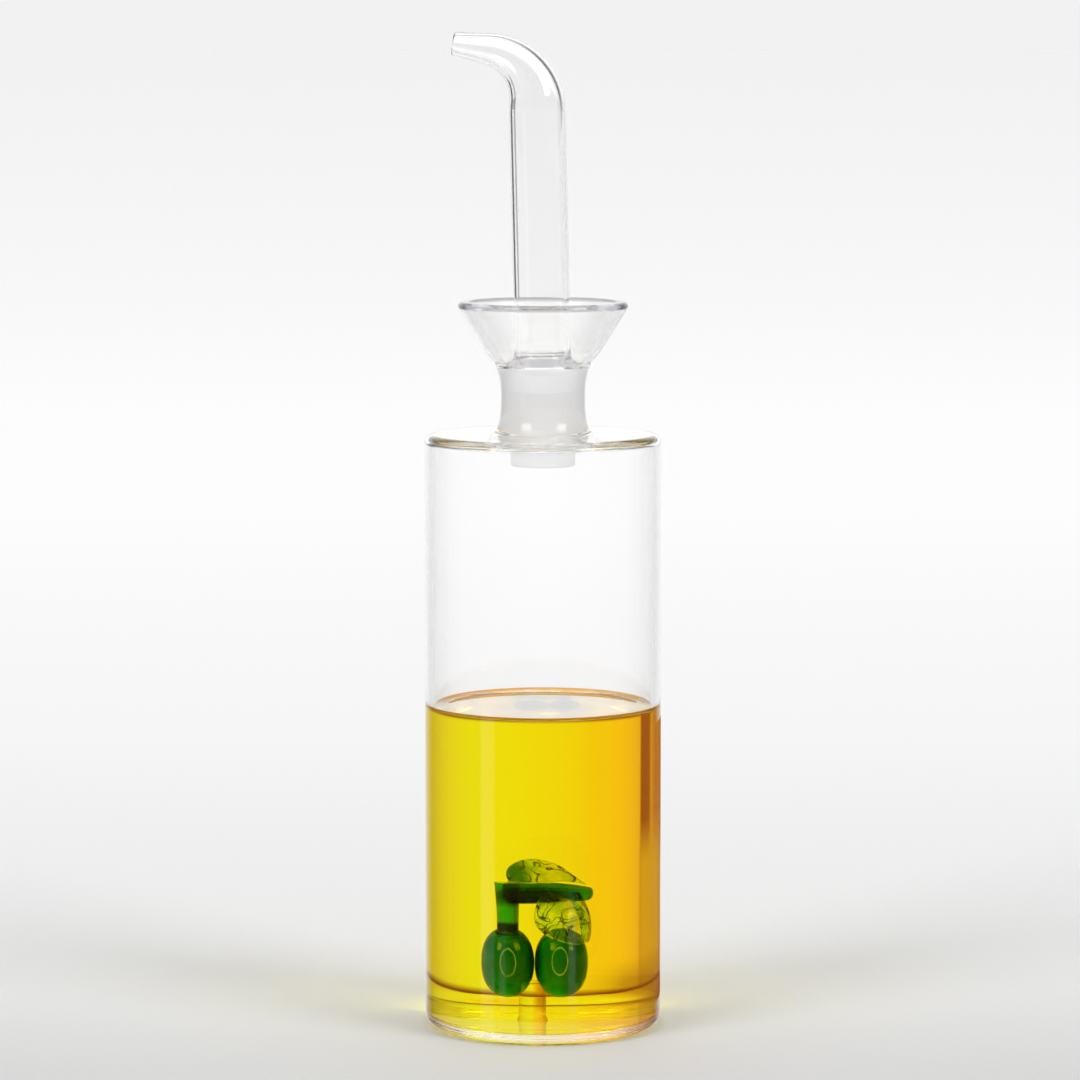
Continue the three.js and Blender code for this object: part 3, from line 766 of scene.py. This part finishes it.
world = bpy.data.worlds.new("studio")
bpy.context.scene.world = world
world.use_nodes = True
tree = world.node_tree
tree.nodes.clear()
direction = add(tree, "ShaderNodeTexCoord").outputs["Generated"]
parts = add(tree, "ShaderNodeSeparateXYZ", {}, {"Vector": direction})
height = add(tree, "ShaderNodeMapRange", {"From Min": -1.0, "From Max": 1.0},
             {"Value": parts.outputs["Z"]})
front = grey_ramp(tree, height.outputs["Result"], front_shades)
back = grey_ramp(tree, height.outputs["Result"], back_shades)
behind = add(tree, "ShaderNodeMapRange",
             {"From Min": back_from, "From Max": back_full, "interpolation_type": "SMOOTHSTEP"},
             {"Value": parts.outputs["Y"]})
surround = add(tree, "ShaderNodeMix", {"data_type": "RGBA"}, {"Factor": behind.outputs["Result"]})
tree.links.new(front.outputs["Color"], surround.inputs["A"])
tree.links.new(back.outputs["Color"], surround.inputs["B"])


def softbox(angle, half_width):
    """Share of a direction inside an upright softbox that many degrees left of straight front."""
    toward = (-math.sin(math.radians(angle)), -math.cos(math.radians(angle)), 0.0)
    sideways = add(tree, "ShaderNodeVectorMath", {"operation": "DOT_PRODUCT"}, {0: direction})
    sideways.inputs[1].default_value = (toward[1], -toward[0], 0.0)
    offset = add(tree, "ShaderNodeMath", {"operation": "ABSOLUTE"}, {0: sideways.outputs["Value"]})
    across = add(tree, "ShaderNodeMapRange",
                 {"From Min": half_width, "From Max": half_width + softbox_edge,
                  "To Min": 1.0, "To Max": 0.0},
                 {"Value": offset.outputs[0]})
    facing = add(tree, "ShaderNodeVectorMath", {"operation": "DOT_PRODUCT"}, {0: direction})
    facing.inputs[1].default_value = toward
    ahead = add(tree, "ShaderNodeMath", {"operation": "GREATER_THAN"}, {0: facing.outputs["Value"]})
    ahead.inputs[1].default_value = softbox_facing
    return add(tree, "ShaderNodeMath", {"operation": "MULTIPLY"},
               {0: across.outputs["Result"], 1: ahead.outputs[0]}).outputs[0]


head_glow = grey_ramp(tree, height.outputs["Result"], softbox_shades)
low = None
for angle, half_width, bottom, top, strength in strips:
    stops = [(bottom, 0.0), (bottom + strip_edge, strength), (top, strength), (top + strip_edge, 0.0)]
    foot_glow = grey_ramp(tree, height.outputs["Result"], stops)
    strip = add(tree, "ShaderNodeMath", {"operation": "MULTIPLY"},
                {0: softbox(angle, half_width), 1: foot_glow.outputs["Color"]})
    if low:
        strip = add(tree, "ShaderNodeMath", {"operation": "ADD"}, {0: low.outputs[0], 1: strip.outputs[0]})
    low = strip
left_box, right_box = (softbox(angle, softbox_half_width) for angle in softbox_angles)
pair = add(tree, "ShaderNodeMath", {"operation": "MAXIMUM"}, {0: left_box, 1: right_box})
high = add(tree, "ShaderNodeMath", {"operation": "MULTIPLY"},
           {0: pair.outputs[0], 1: head_glow.outputs["Color"]})
sky = add(tree, "ShaderNodeBackground", {"Strength": surround_strength}, {"Color": surround.outputs[2]})
strip_glow = add(tree, "ShaderNodeBackground", {"Strength": 1.0}, {"Color": low.outputs[0]})
softbox_glow = add(tree, "ShaderNodeBackground", {"Strength": softbox_strength}, {"Color": high.outputs[0]})
lights = add(tree, "ShaderNodeAddShader", {}, {0: strip_glow.outputs[0], 1: softbox_glow.outputs[0]})
both = add(tree, "ShaderNodeAddShader", {}, {0: sky.outputs[0], 1: lights.outputs[0]})
tree.links.new(both.outputs["Shader"], add(tree, "ShaderNodeOutputWorld").inputs["Surface"])

warm_path = [(0.031, 0.0003), (0.05, 0.0003), (0.05, 0.0742)]
warm_end = 52
warm_shades = [
    (-52, 0.7, 0.52), (-20, 0.76, 0.63), (-10, 0.86, 0.78), (-4, 0.87, 0.88), (-0.5, 0.93, 0.88),
    (1.4, 0.98, 0.69), (5.5, 1.0, 0.62), (12.2, 0.9, 0.48), (13.2, 0.34, 0.05), (19.5, 0.34, 0.05),
    (22, 0.72, 0.32), (27.5, 0.48, 0.08), (52, 0.5, 0.1),
]
front_path = [(0.15, 0.0654), (0.15, 0.1406)]
front_start, front_middle, front_end = 74, 110, 180
dark_path = [(0.3, 0.16), (0.3, 0.32)]
dark_start, dark_end = 22, 40
edge_path = [(0.05, 0.0003), (0.05, 0.0742)]
edge_start, edge_end = -76, -36
card_steps = 60
card_foot, card_bend, card_head = (2.2, 0.6), (2.0, 0.5), (1.4, 0.7)
browned_height, browned_reach, browned_share = (9.0, 3.0), (0.505, 0.56), 0.5
lightened_height, lightened_reach = (45.0, 34.0), (0.612, 0.63)
fade_start, fade_end = 43, 52


def card(name, path, first, last, shades, edge, mirrored=False):
    """A card bent round the bottle: a path of radius and height in metres is turned about Z from the first
    angle to the last, in degrees left of straight back. It glows with colours along its length, given as
    (angle, red, green), and lightens in the lower part of its far half. It takes the edge colour in its bend
    on the floor, along its head and, in part, low down past its middle. Only light that went through the
    glass meets it, and it fades out far to the side. If mirrored is set, only light that the glass threw
    back meets it, and it doesn't fade."""
    angle = np.radians(np.linspace(first, last, card_steps))
    path = np.array(path)
    out, up = path[:, :1], path[:, 1:]
    grid = np.stack([-out * np.sin(angle), out * np.cos(angle), up + 0 * angle], axis=-1)
    index = np.arange(grid[..., 0].size).reshape(grid.shape[:2])
    faces = np.stack([index[:-1, :-1], index[:-1, 1:], index[1:, 1:], index[1:, :-1]], axis=-1)
    mesh = bpy.data.meshes.new(name)
    mesh.from_pydata(grid.reshape(-1, 3), [], faces.reshape(-1, 4).tolist())
    paint, tree, output = material(name)
    place = add(tree, "ShaderNodeTexCoord")
    across = add(tree, "ShaderNodeSeparateXYZ", {}, {"Vector": place.outputs["Object"]})
    turn = add(tree, "ShaderNodeMath", {"operation": "ARCTAN2"},
               {0: across.outputs["X"], 1: across.outputs["Y"]})
    reach = add(tree, "ShaderNodeMapRange",
                {"From Min": -math.radians(first), "From Max": -math.radians(last)},
                {"Value": turn.outputs[0]})
    ramp = add(tree, "ShaderNodeValToRGB", {}, {"Fac": reach.outputs["Result"]})
    elements = ramp.color_ramp.elements
    while len(elements) < len(shades):
        elements.new(0.5)
    for element, (at, red, green) in zip(elements, shades):
        element.position = (at - first) / (last - first)
        element.color = (red, green, green, 1.0)
    level = add(tree, "ShaderNodeCombineXYZ", {}, {"X": across.outputs["X"], "Y": across.outputs["Y"]})
    from_axis = add(tree, "ShaderNodeVectorMath", {"operation": "LENGTH"}, {0: level.outputs["Vector"]})
    radius, high = path[-1]
    foot = add(tree, "ShaderNodeMapRange", {"From Min": card_foot[0] * MM, "From Max": card_foot[1] * MM},
               {"Value": across.outputs["Z"]})
    bend = add(tree, "ShaderNodeMapRange",
               {"From Min": radius - card_bend[0] * MM, "From Max": radius - card_bend[1] * MM},
               {"Value": from_axis.outputs["Value"]})
    corner = add(tree, "ShaderNodeMath", {"operation": "MULTIPLY"},
                 {0: foot.outputs["Result"], 1: bend.outputs["Result"]})
    head = add(tree, "ShaderNodeMapRange",
               {"From Min": high - card_head[0] * MM, "From Max": high - card_head[1] * MM},
               {"Value": across.outputs["Z"]})
    either = add(tree, "ShaderNodeMath", {"operation": "MAXIMUM"},
                 {0: corner.outputs[0], 1: head.outputs["Result"]})
    low = add(tree, "ShaderNodeMapRange",
              {"From Min": browned_height[0] * MM, "From Max": browned_height[1] * MM},
              {"Value": across.outputs["Z"]})
    side = add(tree, "ShaderNodeMapRange",
               {"From Min": browned_reach[0], "From Max": browned_reach[1], "To Max": browned_share},
               {"Value": reach.outputs["Result"]})
    browned = add(tree, "ShaderNodeMath", {"operation": "MULTIPLY"},
                  {0: low.outputs["Result"], 1: side.outputs["Result"]})
    either = add(tree, "ShaderNodeMath", {"operation": "MAXIMUM"},
                 {0: either.outputs[0], 1: browned.outputs[0]})
    below = add(tree, "ShaderNodeMapRange",
                {"From Min": lightened_height[0] * MM, "From Max": lightened_height[1] * MM},
                {"Value": across.outputs["Z"]})
    beyond = add(tree, "ShaderNodeMapRange",
                 {"From Min": lightened_reach[0], "From Max": lightened_reach[1]},
                 {"Value": reach.outputs["Result"]})
    lower_part = add(tree, "ShaderNodeMath", {"operation": "MULTIPLY"},
                     {0: below.outputs["Result"], 1: beyond.outputs["Result"]})
    lightened = add(tree, "ShaderNodeMix", {"data_type": "RGBA"}, {0: lower_part.outputs[0]})
    tree.links.new(ramp.outputs["Color"], lightened.inputs[6])
    lightened.inputs[7].default_value = linear("#DDA1A1")
    edged = add(tree, "ShaderNodeMix", {"data_type": "RGBA"}, {0: either.outputs[0]})
    tree.links.new(lightened.outputs[2], edged.inputs[6])
    edged.inputs[7].default_value = linear(edge)
    glow = add(tree, "ShaderNodeEmission", {}, {"Color": edged.outputs[2]})
    aside = add(tree, "ShaderNodeMath", {"operation": "ABSOLUTE"}, {0: turn.outputs[0]})
    fade = add(tree, "ShaderNodeMapRange",
               {"From Min": math.radians(fade_start), "From Max": math.radians(fade_end),
                "To Max": 0.0 if mirrored else 1.0},
               {"Value": aside.outputs[0]})
    clear = add(tree, "ShaderNodeBsdfTransparent")
    soft = add(tree, "ShaderNodeMixShader", {},
               {0: fade.outputs["Result"], 1: glow.outputs[0], 2: clear.outputs[0]})
    tree.links.new(soft.outputs["Shader"], output.inputs["Surface"])
    mesh.materials.append(paint)
    made = bpy.data.objects.new(name, mesh)
    bpy.context.scene.collection.objects.link(made)
    made.visible_camera = False
    made.visible_diffuse = False
    made.visible_glossy = mirrored
    made.visible_transmission = not mirrored
    made.visible_shadow = False


card("warm_card", warm_path, -warm_end, warm_end, warm_shades, "#8C4A00")
for side, turn in {"left": 1, "right": -1}.items():
    shades = [(front_start * turn, 0.0, 0.0), (front_middle * turn, 1.6, 1.6), (front_end * turn, 2.0, 2.0)]
    card(f"front_card_{side}", front_path, front_start * turn, front_end * turn, shades, "#000000", True)
edge_shades = [(edge_start, 0.3, 0.05), (edge_end, 0.3, 0.05)]
card("edge_card", edge_path, edge_start, edge_end, edge_shades, "#8C4A00", True)
# The dark card is a dim sheet met only by light through the glass: painted shade in the left wall line of
# the empty glass.
card("dark_card", dark_path, dark_start, dark_end, [(dark_start, 0.1, 0.1), (dark_end, 0.1, 0.1)], "#595959")

film_width, lens_length = 36.0, 153.33
camera_place, camera_dip = (-0.00076, -1.16, 0.249), 6.13
light_bounces = 64
lens_data = bpy.data.cameras.new("camera")
lens_data.sensor_width = film_width
lens_data.lens = lens_length
camera = bpy.data.objects.new("camera", lens_data)
camera.location = camera_place
camera.rotation_euler = (math.radians(90 - camera_dip), 0, 0)
bpy.context.scene.collection.objects.link(camera)
bpy.context.scene.camera = camera
bpy.context.scene.view_settings.view_transform = "Standard"
bpy.context.scene.cycles.blur_glossy = 0.0
for kind in ("max_bounces", "transmission_bounces", "glossy_bounces", "diffuse_bounces"):
    setattr(bpy.context.scene.cycles, kind, light_bounces)
